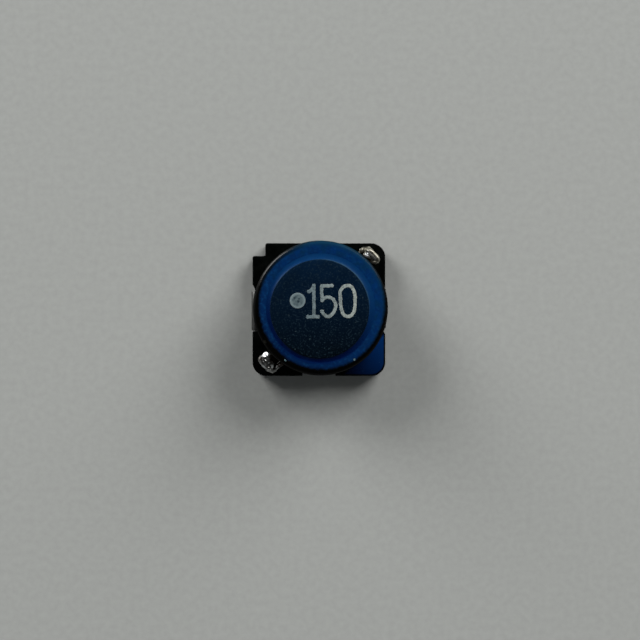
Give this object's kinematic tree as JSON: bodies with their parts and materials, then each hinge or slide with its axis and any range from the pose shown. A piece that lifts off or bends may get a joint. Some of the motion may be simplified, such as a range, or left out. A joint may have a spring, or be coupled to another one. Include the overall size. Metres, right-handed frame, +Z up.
{
  "type": "shielded smd inductor",
  "caption": "Shielded surface-mount power inductor: a round ferrite drum inside a round ferrite ring on a square moulded base with two folded strip terminals.",
  "frame": {"origin": "centre of the footprint, on the board plane that the solder pads rest on", "axes": "+Z up out of the board, +X from one terminal towards the other, +Y towards the edge with the notched start corner, which is at -X +Y"},
  "size_m": [0.0128, 0.0126, 0.0065],
  "materials": {
    "base_plastic": "black moulded plastic, semi-gloss",
    "tinned_strip": "bright tin plate over copper alloy",
    "shield_ferrite": "sintered ferrite with a blue lacquer on the top face",
    "drum_ferrite": "matt sintered ferrite, fine grain",
    "enamelled_wire": "enamelled copper wire",
    "blue_resin": "glossy cured resin",
    "solder": "bright lumpy solder with flux stain"
  },
  "bodies": {
    "root": {"base": "base_plastic", "terminal_left": "tinned_strip", "terminal_right": "tinned_strip", "shield_core": "shield_ferrite", "drum_core": "drum_ferrite", "winding": "enamelled_wire", "gap_resin": "blue_resin", "solder_front_left": "solder", "solder_rear_right": "solder"}
  },
  "joints": []
}
